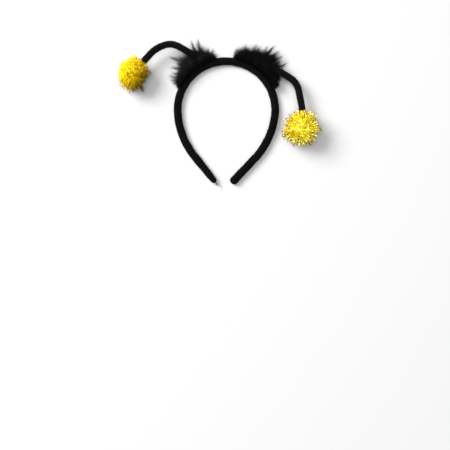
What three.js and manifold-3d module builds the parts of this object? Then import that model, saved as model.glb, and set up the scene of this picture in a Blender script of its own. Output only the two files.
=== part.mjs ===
// A bee headband lying on its side: a padded hoop, two bent feelers in velour sleeves,
// a tuft of black feather fur at the foot of each feeler and a tinsel pompom on each end.
// Millimetres. X runs across the hoop, Y up its line of symmetry, Z = 0 is the table.
import * as THREE from "three";
import { mergeVertices } from "three/addons/utils/BufferGeometryUtils.js";
import Module from "manifold-3d";

const wasm = await Module();
wasm.setup();

// Padded hoop: a crown arc, an arc behind the ear and a straight leg on each side
const CROWN = { radius: 61, turnDeg: 96 };
const EAR = { radius: 96, turnDeg: 35 };
const LEG_LENGTH = 42;
const BAND_THICK = 10.2;
const BAND_WIDE = 10;
const BAND_SIDES = 12;
const BAND_STATIONS = 52;
const TIP_ROUND = 3.6;
const TIP_RING_SHARES = [0, 0.15, 0.45];
const TIP_BLUNT = 0.3;
const TIP_TAPER_LENGTH = 34;
const TIP_SCALE = { left: 0.74, right: 1.04 };

// Feelers, from inside the hoop to inside the pompom
const STEM_RADIUS = 4.3;
const STEM_SIDES = 10;
const STEM_STEPS = 30;
const STEM_LEFT = [
  { x: -28.4, y: 54, z: 5.5 },
  { x: -32.5, y: 58.2, z: 7.5 },
  { x: -38.3, y: 61.4, z: 11.5 },
  { x: -44.3, y: 65.4, z: 15.5 },
  { x: -55.3, y: 71.1, z: 18.5 },
  { x: -63.1, y: 74.8, z: 20 },
  { x: -72.1, y: 76.6, z: 21 },
  { x: -82.9, y: 73.6, z: 21.5 },
  { x: -93, y: 67.2, z: 21 },
  { x: -102.9, y: 55.9, z: 20.5 },
  { x: -113.9, y: 42.3, z: 20 },
];
const STEM_RIGHT = [
  { x: 24.5, y: 55.6, z: 6 },
  { x: 29, y: 60.9, z: 7 },
  { x: 35.4, y: 63.5, z: 8 },
  { x: 43.9, y: 62.3, z: 9 },
  { x: 53.8, y: 56, z: 11 },
  { x: 65.9, y: 48.4, z: 13 },
  { x: 75.1, y: 43, z: 15 },
  { x: 82.4, y: 37.5, z: 17 },
  { x: 87.3, y: 29.7, z: 18 },
  { x: 90, y: 19.2, z: 19 },
  { x: 93.5, y: 3.2, z: 20 },
  { x: 94.8, y: -13.7, z: 21 },
];

// Fur tufts. Pile: how far the dense fur and the loose fluff reach past the hoop, by the angle round
// the crown from its top. Drawn: the longest locks, each from a root past the hoop to its tip
const TUFT_LEFT = {
  tall: 13,
  pile: [
    { deg: -67, dense: 1, loose: 3 },
    { deg: -65, dense: 2.7, loose: 6 },
    { deg: -60, dense: 6, loose: 12 },
    { deg: -54.6, dense: 10.5, loose: 15 },
    { deg: -49.5, dense: 13, loose: 17.5 },
    { deg: -45.6, dense: 16.6, loose: 21 },
    { deg: -42, dense: 21.5, loose: 24.5 },
    { deg: -39.9, dense: 24.8, loose: 26.5 },
    { deg: -33.6, dense: 19.2, loose: 23 },
    { deg: -26.7, dense: 12.6, loose: 19 },
    { deg: -21.2, dense: 7.9, loose: 12.5 },
    { deg: -17, dense: 2.5, loose: 6 },
    { deg: -14.5, dense: 0.8, loose: 2 },
  ],
  drawn: [
    { rootDeg: -28, out: 5, tipDeg: -24.6, reach: 30, height: 15, bow: 0 },
    { rootDeg: -29, out: 6, tipDeg: -29.2, reach: 32, height: 13, bow: 1 },
    { rootDeg: -22, out: 0, tipDeg: -19, reach: 14, height: 10, bow: 0 },
    { rootDeg: -20, out: 0, tipDeg: -13.2, reach: 11, height: 9, bow: 0 },
    { rootDeg: -43, out: 9, tipDeg: -50.5, reach: 30.5, height: 13, bow: -1.5 },
    { rootDeg: -47, out: 3, tipDeg: -56, reach: 21.5, height: 11, bow: -1 },
    { rootDeg: -51, out: 1, tipDeg: -59.4, reach: 17.5, height: 9, bow: 1 },
    { rootDeg: -54, out: 0, tipDeg: -62.2, reach: 18.5, height: 8, bow: 2 },
    { rootDeg: -58, out: 0, tipDeg: -64.5, reach: 13.5, height: 7, bow: 1.5 },
  ],
};
const TUFT_RIGHT = {
  tall: 15,
  pile: [
    { deg: 7, dense: 1, loose: 4 },
    { deg: 8.2, dense: 5.2, loose: 8 },
    { deg: 10.9, dense: 10.4, loose: 13 },
    { deg: 18.3, dense: 15.2, loose: 18.5 },
    { deg: 26, dense: 20.2, loose: 23 },
    { deg: 30, dense: 18.7, loose: 23 },
    { deg: 36.3, dense: 25.5, loose: 29 },
    { deg: 43.7, dense: 24.3, loose: 27.5 },
    { deg: 46.9, dense: 19.8, loose: 25 },
    { deg: 51, dense: 19.5, loose: 22 },
    { deg: 59.4, dense: 9.4, loose: 10.5 },
    { deg: 62, dense: 7.2, loose: 8 },
    { deg: 63.3, dense: 1.5, loose: 3 },
  ],
  drawn: [
    { rootDeg: 30, out: 10, tipDeg: 31.2, reach: 30.5, height: 13, bow: 0 },
    { rootDeg: 31.5, out: 10, tipDeg: 35.2, reach: 35.5, height: 12, bow: 0 },
    { rootDeg: 34, out: 10, tipDeg: 40.3, reach: 33.5, height: 12, bow: 1 },
    { rootDeg: 36, out: 10, tipDeg: 44.3, reach: 32.5, height: 10, bow: 2 },
    { rootDeg: 41, out: 8, tipDeg: 46.7, reach: 24, height: 12, bow: 1 },
    { rootDeg: 44, out: 8, tipDeg: 51.3, reach: 29.5, height: 16, bow: 1 },
    { rootDeg: 11, out: 1, tipDeg: 5.1, reach: 8, height: 8, bow: -1 },
    { rootDeg: 12, out: 2, tipDeg: 7.3, reach: 11, height: 10, bow: -0.5 },
    { rootDeg: 22, out: 10, tipDeg: 22.7, reach: 23.5, height: 13, bow: 0 },
  ],
};
// Rows of locks, from the one along the table to the one over the hoop's top
const LOCK_ROWS = [
  { liftDeg: -5, droop: 0, count: 9 },
  { liftDeg: 20, droop: 2, count: 8 },
  { liftDeg: 44, droop: 2, count: 6 },
  { liftDeg: 68, droop: 1, count: 4 },
];
const LOCK_SIDES = 4;
const LOCK_PROFILE = [
  { along: 0, radius: 3 },
  { along: 0.6, radius: 2.1 },
  { along: 1, radius: 0.3 },
];
const DRAWN_PROFILE = [
  { along: 0, radius: 2 },
  { along: 0.55, radius: 1.1 },
  { along: 1, radius: 0.25 },
];
const LOCK_FAN_DEG = 6;
const LOCK_CURL = 3;
const LOCK_BOW = 1;
const LOCK_SHORTEST = 0.8;
const LOCK_SCATTER = 0.3;
// The dense fur behind the locks, as a share of its reach, and how its height grows with its reach
const MOUND_SHARE = 0.85;
const MOUND_SIDES = 8;
const FUR_LOWEST = 0.3;
const FUR_BASE = 0.25;
const FUR_FULL_REACH = 14;
const FUR_ROOT_DEPTH = 1;
const FUR_ROOT_SPREAD = 3.5;
const FUR_FLOOR = 0.9;

// Tinsel pompoms. Outline: reach by the angle seen from above. Drawn: the few locks that stick out
const POMPOM_LEFT = {
  place: { x: -118, y: 38.6, z: 20 },
  tall: 20.5,
  core: 0.8,
  strips: 72,
  outline: [
    { deg: 0, reach: 21.5 },
    { deg: 30, reach: 21.2 },
    { deg: 60, reach: 20.8 },
    { deg: 75, reach: 23.2 },
    { deg: 100, reach: 20.2 },
    { deg: 120, reach: 18.6 },
    { deg: 150, reach: 17.4 },
    { deg: 175, reach: 16.9 },
    { deg: 195, reach: 18.4 },
    { deg: 220, reach: 20.6 },
    { deg: 245, reach: 22.4 },
    { deg: 265, reach: 23.8 },
    { deg: 282, reach: 21 },
    { deg: 300, reach: 21.5 },
    { deg: 330, reach: 18.2 },
    { deg: 360, reach: 21.5 },
  ],
  drawn: [
    { deg: 1, reach: 24.6 },
    { deg: 301, reach: 26.4 },
  ],
};
const POMPOM_RIGHT = {
  place: { x: 92.7, y: -19.9, z: 22 },
  tall: 23.5,
  core: 0.72,
  strips: 80,
  outline: [
    { deg: 0, reach: 24 },
    { deg: 20, reach: 23.6 },
    { deg: 45, reach: 26.2 },
    { deg: 65, reach: 24.6 },
    { deg: 85, reach: 21 },
    { deg: 110, reach: 22 },
    { deg: 135, reach: 21 },
    { deg: 180, reach: 23 },
    { deg: 200, reach: 26 },
    { deg: 230, reach: 24.6 },
    { deg: 255, reach: 23 },
    { deg: 285, reach: 24.2 },
    { deg: 330, reach: 25.2 },
    { deg: 360, reach: 24 },
  ],
  drawn: [{ deg: 352, reach: 27.2 }],
};
const CORE_DETAIL = 1;
const STRIP_SIDES = 4;
const STRIP_ROOT = { share: 0.75, wide: 3.4, thick: 2.2 };
const STRIP_END = { wide: 2, thick: 0.8 };
const STRIP_SHORTEST = 0.88;
const STRIP_LONGEST = 1.04;
const STRIP_SWAY = 2.4;
const GOLDEN_ANGLE = Math.PI * (3 - Math.sqrt(5));

// Room left round a piece that another one meets, and the spacing at which vertices merge
const SEAT_GAP = 0.3;
const MERGE = 1e-4;

// Where each piece starts in the fixed scatter
const SEED = { tuftLeft: 10, tuftRight: 200, pompomLeft: 400, pompomRight: 600 };

const UP = new THREE.Vector3(0, 0, 1);
const ORIGIN = { x: 0, y: 0, z: 0 };
const { clamp, lerp, degToRad: radians, radToDeg: degrees, euclideanModulo } = THREE.MathUtils;

// A fixed scatter from 0 to 1 for the nth thing of a kind, by the usual sine hash
function scatter(n, kind) {
  const wave = Math.sin(n * 12.9898 + kind * 78.233) * 43758.5453;
  return wave - Math.floor(wave);
}

// The same scatter from -1 to 1
function centred(n, kind) {
  return 2 * scatter(n, kind) - 1;
}

// A closed skin over rings of equal count, with a flat cap on each end
function loft(rings) {
  const count = rings[0].length;
  const index = [];
  for (let ring = 0; ring + 1 < rings.length; ring++) {
    for (let k = 0; k < count; k++) {
      const a = ring * count + k;
      const b = ring * count + ((k + 1) % count);
      index.push(a, b, a + count, b, b + count, a + count);
    }
  }
  const last = (rings.length - 1) * count;
  for (let k = 1; k + 1 < count; k++) {
    index.push(0, k + 1, k, last, last + k, last + k + 1);
  }
  const skin = new THREE.BufferGeometry();
  const places = rings.flat().flatMap((point) => point.toArray());
  skin.setAttribute("position", new THREE.Float32BufferAttribute(places, 3));
  skin.setIndex(index);
  return skin;
}

// An oval of points round a centre, with a flat on each of its four sides
function oval(centre, across, upward, halfWide, halfHigh, sides) {
  const flat = 1 / Math.cos(Math.PI / sides);
  const points = [];
  for (let k = 0; k < sides; k++) {
    const angle = ((k + 0.5) * 2 * Math.PI) / sides;
    points.push(
      centre
        .clone()
        .addScaledVector(across, Math.cos(angle) * halfWide * flat)
        .addScaledVector(upward, Math.sin(angle) * halfHigh * flat),
    );
  }
  return points;
}

// A closed geometry as a solid that can be joined and cut
function toSolid(geometry) {
  geometry.deleteAttribute("normal");
  geometry.deleteAttribute("uv");
  const merged = mergeVertices(geometry, MERGE);
  const source = new wasm.Mesh({
    numProp: 3,
    vertProperties: merged.attributes.position.array,
    triVerts: new Uint32Array(merged.index.array),
  });
  return new wasm.Manifold(source);
}

// The largest body of a solid as a named mesh
function toMesh(name, solid, material) {
  const bodies = solid.decompose();
  const body = bodies.reduce((best, next) => (next.volume() > best.volume() ? next : best));
  const source = body.getMesh();
  const geometry = new THREE.BufferGeometry();
  geometry.setAttribute("position", new THREE.BufferAttribute(source.vertProperties, 3));
  geometry.setIndex(new THREE.BufferAttribute(source.triVerts, 1));
  geometry.computeVertexNormals();
  const mesh = new THREE.Mesh(geometry, material);
  mesh.name = name;
  return mesh;
}

// The hoop's centre line at a length from its top, to the right when positive
function hoopAt(length) {
  const side = length < 0 ? -1 : 1;
  let left = Math.abs(length);
  let heading = 0;
  let x = 0;
  let y = CROWN.radius;
  for (const arc of [CROWN, EAR]) {
    const turn = Math.min(left / arc.radius, radians(arc.turnDeg));
    x += arc.radius * (Math.sin(heading + turn) - Math.sin(heading));
    y += arc.radius * (Math.cos(heading + turn) - Math.cos(heading));
    heading += turn;
    left -= turn * arc.radius;
  }
  x += left * Math.cos(heading);
  y -= left * Math.sin(heading);
  const outward = new THREE.Vector3(side * Math.sin(heading), Math.cos(heading), 0);
  return {
    point: new THREE.Vector3(side * x, y, BAND_WIDE / 2),
    outward,
    forward: outward.clone().cross(UP),
  };
}

const HALF_HOOP =
  CROWN.radius * radians(CROWN.turnDeg) + EAR.radius * radians(EAR.turnDeg) + LEG_LENGTH;

// The hoop as a solid, grown all round by a margin
function makeHoop(margin) {
  const rings = [];
  const reach = HALF_HOOP + margin;
  const addRing = (length) => {
    const toTip = reach - Math.abs(length);
    const { point, outward } = hoopAt(length);
    const rounding = Math.min(toTip / TIP_ROUND, 1);
    const round = Math.max(Math.sqrt(1 - (1 - rounding) ** 2), TIP_BLUNT);
    const taper = Math.max(1 - toTip / TIP_TAPER_LENGTH, 0);
    const tipScale = length < 0 ? TIP_SCALE.left : TIP_SCALE.right;
    const halfThick = (BAND_THICK / 2) * (1 + (tipScale - 1) * taper) + margin;
    const halfWide = BAND_WIDE / 2 + margin;
    rings.push(oval(point, outward, UP, halfThick * round, halfWide * round, BAND_SIDES));
  };
  const plain = reach - TIP_ROUND;
  TIP_RING_SHARES.forEach((share) => addRing(-reach + share * TIP_ROUND));
  for (let k = 0; k <= BAND_STATIONS; k++) {
    addRing(-plain + (2 * plain * k) / BAND_STATIONS);
  }
  TIP_RING_SHARES.toReversed().forEach((share) => addRing(reach - share * TIP_ROUND));
  return toSolid(loft(rings));
}

// A feeler's sleeve along its points, measured from a place and grown by a margin
function makeStem(table, margin, from = ORIGIN) {
  const points = table.map(({ x, y, z }) => new THREE.Vector3(x, y, z).sub(from));
  const end = points[points.length - 1];
  const onward = end.clone().sub(points[points.length - 2]).normalize();
  end.addScaledVector(onward, margin);
  const path = new THREE.CatmullRomCurve3(points, false, "centripetal");
  const section = new THREE.Shape();
  section.absarc(0, 0, STEM_RADIUS + margin, 0, 2 * Math.PI);
  const sleeve = new THREE.ExtrudeGeometry(section, {
    curveSegments: STEM_SIDES / 2,
    steps: STEM_STEPS,
    extrudePath: path,
  });
  return toSolid(sleeve);
}

// A column of a table of angles, read at any angle
function readTable(table, column, deg) {
  const inside = clamp(deg, table[0].deg, table[table.length - 1].deg);
  const found = Math.max(table.findIndex((row) => row.deg >= inside), 1);
  const before = table[found - 1];
  const after = table[found];
  return lerp(before[column], after[column], (inside - before.deg) / (after.deg - before.deg));
}

// Points of a ring pressed up to a lowest height
function pressUp(points, lowest) {
  points.forEach((point) => {
    point.z = Math.max(point.z, lowest);
  });
  return points;
}

// How high above the hoop's middle the fur stands where it reaches so far out
function furHeight(tuft, reach) {
  return tuft.tall * clamp(FUR_BASE + reach / FUR_FULL_REACH, FUR_LOWEST, 1);
}

// The dense fur against the hoop's outer face
function makeMound(tuft) {
  const rings = tuft.pile.map(({ deg, dense }) => {
    const { point, outward } = hoopAt(CROWN.radius * radians(deg));
    const halfDeep = (dense * MOUND_SHARE) / 2;
    const halfHigh = furHeight(tuft, dense) * MOUND_SHARE;
    const middle = BAND_THICK / 2 - FUR_ROOT_DEPTH + halfDeep;
    const centre = point.clone().addScaledVector(outward, middle);
    return pressUp(oval(centre, outward, UP, halfDeep, halfHigh, MOUND_SIDES), FUR_FLOOR);
  });
  return toSolid(loft(rings));
}

// One tapered lock of fur along a bowed line from its root to its tip
function makeLock(root, tip, bow, profile) {
  const away = tip.clone().sub(root).normalize();
  const sideways = UP.clone().cross(away).normalize();
  const upward = away.clone().cross(sideways);
  const rings = profile.map(({ along, radius }) => {
    const centre = root.clone().lerp(tip, along);
    centre.addScaledVector(sideways, bow * Math.sin(Math.PI * along));
    return pressUp(oval(centre, sideways, upward, radius, radius, LOCK_SIDES), FUR_FLOOR);
  });
  return toSolid(loft(rings));
}

// A lock of one of the rows, which fan out from the hoop's outer face
function makeRowLock(tuft, row, deg, lean, seed) {
  const { point, outward, forward } = hoopAt(CROWN.radius * radians(deg));
  const lift = radians(row.liftDeg);
  const reach = readTable(tuft.pile, "loose", deg);
  const rise = furHeight(tuft, reach);
  const edge = 1 / Math.hypot(Math.cos(lift) / reach, Math.sin(lift) / rise);
  const length = FUR_ROOT_DEPTH + edge * lerp(LOCK_SHORTEST, 1, scatter(seed, 1));
  const away = outward
    .clone()
    .multiplyScalar(Math.cos(lift))
    .addScaledVector(UP, Math.sin(lift))
    .applyAxisAngle(UP, -lean);
  const root = point
    .clone()
    .addScaledVector(outward, BAND_THICK / 2 - FUR_ROOT_DEPTH)
    .addScaledVector(UP, FUR_ROOT_SPREAD * Math.sin(lift));
  const tip = root
    .clone()
    .addScaledVector(away, length)
    .addScaledVector(forward, LOCK_CURL * centred(seed, 2))
    .addScaledVector(UP, -row.droop);
  return makeLock(root, tip, LOCK_BOW * centred(seed, 8), LOCK_PROFILE);
}

// A point past the hoop's outer face, at a height over the table
function pastHoop(deg, out, height) {
  const { point, outward } = hoopAt(CROWN.radius * radians(deg));
  return point.addScaledVector(outward, BAND_THICK / 2 + out).setZ(height);
}

// A tuft: its mound with every row of locks and the drawn-out ones fused to it
function makeTuft(tuft, firstSeed) {
  const from = tuft.pile[0].deg;
  const to = tuft.pile[tuft.pile.length - 1].deg;
  let fused = makeMound(tuft);
  let seed = firstSeed;
  for (const row of LOCK_ROWS) {
    for (let k = 0; k < row.count; k++) {
      const share = (k + 0.5 + LOCK_SCATTER * centred(seed, 3)) / row.count;
      const lean = radians(LOCK_FAN_DEG) * (2 * share - 1);
      fused = fused.add(makeRowLock(tuft, row, lerp(from, to, share), lean, seed));
      seed += 1;
    }
  }
  for (const { rootDeg, out, tipDeg, reach, height, bow } of tuft.drawn) {
    const root = pastHoop(rootDeg, out - FUR_ROOT_DEPTH, BAND_WIDE / 2);
    fused = fused.add(makeLock(root, pastHoop(tipDeg, reach, height), bow, DRAWN_PROFILE));
  }
  return fused;
}

// How far a pompom reaches in a direction: its outline from above, eased to its height
function pompomReach(ball, away) {
  const deg = euclideanModulo(degrees(Math.atan2(away.y, away.x)), 360);
  return lerp(readTable(ball.outline, "reach", deg), ball.tall, away.z ** 2);
}

// The matted heart of a pompom round its own middle
function makeCore(ball) {
  const core = new THREE.IcosahedronGeometry(1, CORE_DETAIL);
  const places = core.attributes.position;
  const away = new THREE.Vector3();
  for (let k = 0; k < places.count; k++) {
    away.fromBufferAttribute(places, k).normalize();
    away.multiplyScalar(pompomReach(ball, away) * ball.core);
    places.setXYZ(k, away.x, away.y, away.z);
  }
  return toSolid(core);
}

// One flat strip of tinsel out of the core, pressed up by the table
function makeStrip(ball, away, reach, seed) {
  const across = UP.clone().cross(away).normalize();
  across.applyAxisAngle(away, Math.PI * scatter(seed, 4));
  const upward = away.clone().cross(across);
  const foot = away.clone().multiplyScalar(pompomReach(ball, away) * ball.core * STRIP_ROOT.share);
  const tip = away
    .clone()
    .multiplyScalar(reach)
    .addScaledVector(across, STRIP_SWAY * centred(seed, 6))
    .addScaledVector(upward, STRIP_SWAY * centred(seed, 7));
  const rings = [
    oval(foot, across, upward, STRIP_ROOT.wide / 2, STRIP_ROOT.thick / 2, STRIP_SIDES),
    oval(tip, across, upward, STRIP_END.wide / 2, STRIP_END.thick / 2, STRIP_SIDES),
  ];
  rings.forEach((ring) => pressUp(ring, -ball.place.z));
  return toSolid(loft(rings));
}

// A pompom round its own middle: strips all over its core, and the drawn-out ones
function makePompom(ball, firstSeed) {
  let pompom = makeCore(ball);
  let seed = firstSeed;
  for (let k = 0; k < ball.strips; k++) {
    const height = 1 - (2 * (k + 0.5)) / ball.strips;
    const round = Math.sqrt(1 - height * height);
    const turn = k * GOLDEN_ANGLE;
    const away = new THREE.Vector3(Math.cos(turn) * round, Math.sin(turn) * round, height);
    const share = lerp(STRIP_SHORTEST, STRIP_LONGEST, scatter(seed, 5));
    pompom = pompom.add(makeStrip(ball, away, pompomReach(ball, away) * share, seed));
    seed += 1;
  }
  for (const { deg, reach } of ball.drawn) {
    const away = new THREE.Vector3(Math.cos(radians(deg)), Math.sin(radians(deg)), 0);
    pompom = pompom.add(makeStrip(ball, away, reach, seed));
    seed += 1;
  }
  return pompom;
}

const velour = new THREE.MeshStandardMaterial({ color: 0x131314, roughness: 0.9 });
const fur = new THREE.MeshStandardMaterial({ color: 0x0d0c0d, roughness: 0.8 });
const tinsel = new THREE.MeshStandardMaterial({ color: 0xf0d020, roughness: 0.3, metalness: 0.5 });

const headband = new THREE.Group();
headband.name = "headband";
headband.add(toMesh("band", makeHoop(0), velour.clone()));

// One feeler with the fur at its foot and the pompom on its end
const hoopSeat = makeHoop(SEAT_GAP);
function addFeeler(side, stemTable, tuftTable, ball, tuftSeed, pompomSeed) {
  const stem = makeStem(stemTable, 0).subtract(hoopSeat);
  const stemSeat = makeStem(stemTable, SEAT_GAP);
  const tuft = makeTuft(tuftTable, tuftSeed).subtract(hoopSeat).subtract(stemSeat);
  const pompomSeat = makeStem(stemTable, SEAT_GAP, ball.place);
  const pompom = makePompom(ball, pompomSeed).subtract(pompomSeat);
  const pompomMesh = toMesh(`pompom_${side}`, pompom, tinsel.clone());
  pompomMesh.position.copy(ball.place);
  headband.add(
    toMesh(`stem_${side}`, stem, velour.clone()),
    toMesh(`tuft_${side}`, tuft, fur.clone()),
    pompomMesh,
  );
}
addFeeler("left", STEM_LEFT, TUFT_LEFT, POMPOM_LEFT, SEED.tuftLeft, SEED.pompomLeft);
addFeeler("right", STEM_RIGHT, TUFT_RIGHT, POMPOM_RIGHT, SEED.tuftRight, SEED.pompomRight);

// The origin is under the middle of the whole
const box = new THREE.Box3().setFromObject(headband);
const middle = box.getCenter(new THREE.Vector3());
headband.position.set(-middle.x, -middle.y, -box.min.z);
const part = new THREE.Group();
part.name = "bee_headband";
part.add(headband);

export default part;
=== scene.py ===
import math

import bpy
import numpy as np
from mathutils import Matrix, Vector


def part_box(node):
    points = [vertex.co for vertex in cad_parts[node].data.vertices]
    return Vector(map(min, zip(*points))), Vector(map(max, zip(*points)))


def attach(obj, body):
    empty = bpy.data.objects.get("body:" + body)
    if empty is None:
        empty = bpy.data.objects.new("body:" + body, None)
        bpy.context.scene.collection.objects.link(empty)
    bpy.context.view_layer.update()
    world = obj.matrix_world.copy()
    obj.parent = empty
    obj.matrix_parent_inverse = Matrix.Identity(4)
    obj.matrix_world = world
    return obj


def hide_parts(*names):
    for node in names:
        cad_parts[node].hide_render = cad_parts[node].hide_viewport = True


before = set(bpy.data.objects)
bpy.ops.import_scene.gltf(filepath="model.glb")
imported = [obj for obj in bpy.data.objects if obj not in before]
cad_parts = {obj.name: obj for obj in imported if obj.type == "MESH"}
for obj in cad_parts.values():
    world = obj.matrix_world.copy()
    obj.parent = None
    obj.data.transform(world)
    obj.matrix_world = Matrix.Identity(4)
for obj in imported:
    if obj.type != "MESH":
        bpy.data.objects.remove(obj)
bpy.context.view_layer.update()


def table(names, rows):
    """Rows of values as columns that are read by name."""
    return dict(zip(names, np.array(rows).T))


def records(names, rows):
    """Rows of values as a list, each read by name."""
    return [dict(zip(names, row)) for row in rows]


# Sizes are millimetres in the hoop's own frame: X across it, Y up its line of symmetry, Z up
MM = 0.001
BODY = "root"
UP = np.array([0.0, 0.0, 1.0])
TINY = 1e-9

# Padded hoop: a crown arc, an arc behind the ear and a straight leg on each side
CROWN_RADIUS = 61.0
CROWN_TURN = math.radians(96.0)
EAR_RADIUS = 96.0
EAR_TURN = math.radians(35.0)
LEG_LENGTH = 42.0
HALF_HOOP = CROWN_RADIUS * CROWN_TURN + EAR_RADIUS * EAR_TURN + LEG_LENGTH
BAND_THICK = 10.2
BAND_WIDE = 10.0
BAND_STEP = 1.3
BAND_SIDES = 48
BAND_FULLNESS = 2.25
BAND_FLOOR = 0.03
# Rings that lie on the table start half a side round, so that a side faces down
RING_SHIFT = 0.5
TIP_ROUND = 3.6
TIP_RINGS = {"count": 8, "first_deg": 10.0, "last_deg": 84.0}
TIP_TAPER_LENGTH = 34.0
TIP_SCALE = {"left": 0.74, "right": 1.04}
SEAM = {"angle": math.pi + 0.3, "depth": 0.35, "wide": 0.5}
SEAM_LIP = {"height": 0.16, "from_seam": 1.0, "wide": 0.6}
PAD_LUMPS = {"height": 0.12, "waves": 7, "shortest": 11.0, "longest": 30.0}
CREASES = {"depth": 0.09, "waves": 5, "shortest": 4.2, "longest": 6.5}
# How quickly the creases fade in from the hoop's edges to its inner side
CREASED_SIDE = {"gain": 1.4, "start": 0.1}
GATHERS = {"depth": 0.3, "length": 9.0, "folds": 3.5, "turn": 0.6}

# Cloth simulation of the padded cover: it starts smaller, swells, and is a little too long inside
CLOTH_START = {"thick": 0.08, "wide": 0.35}
CLOTH_REACH = 0.8
CLOTH_SCALE = 0.01
CLOTH_FRAMES = 20
CLOTH_QUALITY = 6
CLOTH_PRESSURE = 20.0
CLOTH_SLACK = {"outside": 0.0, "inside": 0.02}
CLOTH_OUTSIDE_ABOVE = -0.3
CLOTH_STIFFNESS = 1.0
FOAM_HOLD = 0.3

# Short pile on a skin: how many fibres, how long, and how far they lean along it
NAP = {"fibres": 26000, "length": 0.6, "lean": 0.7}
SLEEVE_PILE = {"fibres": 26000, "length": 0.75, "lean": 0.25}
MOUND_PILE = {"fibres": 5000, "length": 3.0, "lean": 0.3}
FIBRE = {"radius": 0.06, "shortest": 0.55, "longest": 1.15, "stray": 0.4, "sunk": 0.08, "dullest": 0.4}
FIBRE_FLOOR = 0.06
# Fibres stop just short of the last ring, because no row of faces starts there
ROWS_SPARED = 1.001
# How far each skin lies inside its pile, and its tone under it, which puts it in the pile's painted shade
NAP_INSET = 0.2
PILE_INSET = 0.3
SKIN_TONE = {"band": 0.25, "stem": 0.2}

# Loose thread at the left tip: where it leaves the cover and where its ends lie
THREAD = {"radius": 0.2, "steps": 6, "bow": 0.9, "bow_up": 0.2, "shade": 0.7}
THREAD_ROOT = np.array([-9.8, -91.8, 2.0])
THREAD_ENDS = np.array([(-5.9, -94.7, 1.2), (-4.8, -95.6, 0.8), (-1.0, -100.0, 0.5)])

# Feelers: x, y and z from inside the hoop to inside the pompom
STEM_RADIUS = 4.3
STEM_SIDES = 28
STEM_STEP = 0.8
STEM_FOOT = 3.0
STEM_LUMPS = {"height": 0.18, "waves": 8, "shortest": 2.6, "longest": 8.0}
STEM_RIDGE = {"height": 0.3, "pitch": 3.0}
STEM_LEFT = np.array([
    (-28.4, 54, 5.5), (-32.5, 58.2, 7.5), (-38.3, 61.4, 11.5), (-44.3, 65.4, 15.5),
    (-55.3, 71.1, 18.5), (-63.1, 74.8, 20), (-72.1, 76.6, 21), (-82.9, 73.6, 21.5),
    (-93, 67.2, 21), (-102.9, 55.9, 20.5), (-113.9, 42.3, 20),
])
STEM_RIGHT = np.array([
    (24.5, 55.6, 6), (29, 60.9, 7), (35.4, 63.5, 8), (43.9, 62.3, 9),
    (53.8, 56, 11), (65.9, 48.4, 13), (75.1, 43, 15), (82.4, 37.5, 17),
    (87.3, 29.7, 18), (90, 19.2, 19), (93.5, 3.2, 20), (94.8, -13.7, 21),
])

# Fur tufts: angle round the crown from its top, and how far the dense fur and the loose fluff
# reach past the hoop there
FUR_COLUMNS = ("angle", "dense", "loose")
FUR_LEFT = table(FUR_COLUMNS, [
    (-67, 1, 2.5),
    (-65, 2.7, 5.5),
    (-60, 6, 12),
    (-54.6, 10.5, 16),
    (-49.5, 13, 19),
    (-45.6, 16.6, 22),
    (-42, 21.5, 24.5),
    (-39.9, 24.8, 26.5),
    (-33.6, 19.2, 25),
    (-26.7, 12.6, 22),
    (-21.2, 7.9, 15),
    (-17, 2.5, 8),
    (-14.5, 0.8, 2),
])
FUR_RIGHT = table(FUR_COLUMNS, [
    (7, 1, 4),
    (8.2, 5.2, 9),
    (10.9, 10.4, 15),
    (18.3, 15.2, 21.5),
    (26, 20.2, 26.5),
    (30, 18.7, 26.5),
    (36.3, 25.5, 30.5),
    (43.7, 24.3, 29),
    (46.9, 19.8, 26),
    (51, 19.5, 22),
    (59.4, 9.4, 10.5),
    (62, 7.2, 8),
    (63.3, 1.5, 3),
])
# Drawn-out locks of the fur, each from its root to its tip
LOCK_COLUMNS = ("root_angle", "root_reach", "tip_angle", "tip_reach", "tip_height", "bow", "strands")
LOCKS_LEFT = table(LOCK_COLUMNS, [
    (-28, 5, -24.6, 31, 15, 0.5, 44),
    (-29, 6, -29.2, 33, 13, -1.5, 44),
    (-30, 7, -31.2, 30, 9, -1, 26),
    (-28, 6, -26.5, 27.5, 10, 0.5, 30),
    (-26, 4, -23, 20, 12, -1, 40),
    (-22, 0, -19, 15, 10, 0.5, 44),
    (-20, 0, -13.2, 12, 9, -0.5, 40),
    (-19, 0, -11.3, 5.5, 7, -1, 30),
    (-43, 9, -50.5, 31.5, 13, 1.5, 60),
    (-42, 10, -45.5, 27, 10, 1, 40),
    (-45, 6, -49.8, 22.5, 12, -1, 36),
    (-47, 3, -56, 22.5, 11, 1, 54),
    (-51, 1, -59.4, 18.5, 9, -1, 40),
    (-54, 0, -62.2, 19.5, 8, -2, 46),
    (-58, 0, -64.5, 14.5, 7, -1.5, 46),
    (-61, 0, -66.7, 10, 6, -1, 36),
])
LOCKS_RIGHT = table(LOCK_COLUMNS, [
    (30, 10, 31.2, 30.5, 13, 0.5, 28),
    (31.5, 10, 35.2, 36.5, 12, 0.5, 50),
    (33, 10, 35.5, 31, 9, -1, 40),
    (34, 10, 40.3, 34.5, 12, 1, 44),
    (36, 10, 44.3, 33.5, 10, 2, 44),
    (38, 10, 42, 30.5, 14, -1, 40),
    (41, 8, 46.7, 26, 12, 1, 44),
    (44, 8, 51.3, 30.5, 16, 1, 40),
    (45, 8, 52.9, 27.5, 17, -1, 30),
    (11, 1, 5.1, 9, 8, -1, 40),
    (12, 2, 7.3, 12, 10, -0.5, 40),
    (15, 8, 13.8, 17.5, 12, 0.5, 18),
    (22, 10, 22.7, 25, 13, -0.5, 18),
])
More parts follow.
